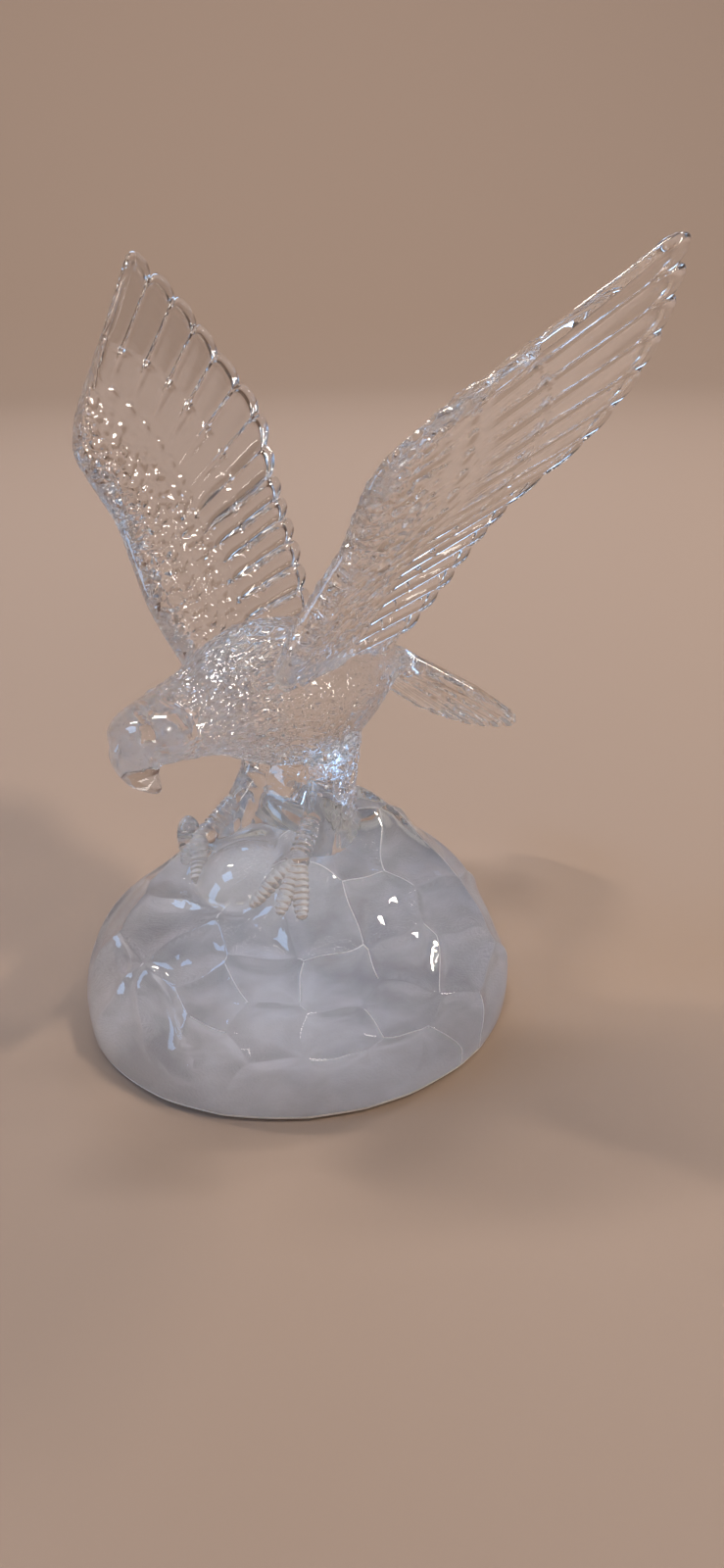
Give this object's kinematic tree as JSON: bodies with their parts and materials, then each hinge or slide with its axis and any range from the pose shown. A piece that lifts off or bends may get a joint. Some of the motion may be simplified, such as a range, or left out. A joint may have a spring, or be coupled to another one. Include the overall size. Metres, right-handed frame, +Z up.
{
  "type": "glass eagle figurine",
  "caption": "Clear pressed glass eagle landing with raised wings on a domed, faceted rock base, all one piece.",
  "frame": {"origin": "centre of the round flat underside, on the table", "axes": "+Z up, -Y the way the bird faces, +X the bird's left; the bird is symmetric about X = 0"},
  "size_m": [0.1946, 0.1922, 0.2291],
  "materials": {
    "clear_glass": "clear and fire-polished, the rock's underside frosted"
  },
  "bodies": {
    "root": {"glass_eagle": "clear_glass"}
  },
  "joints": []
}
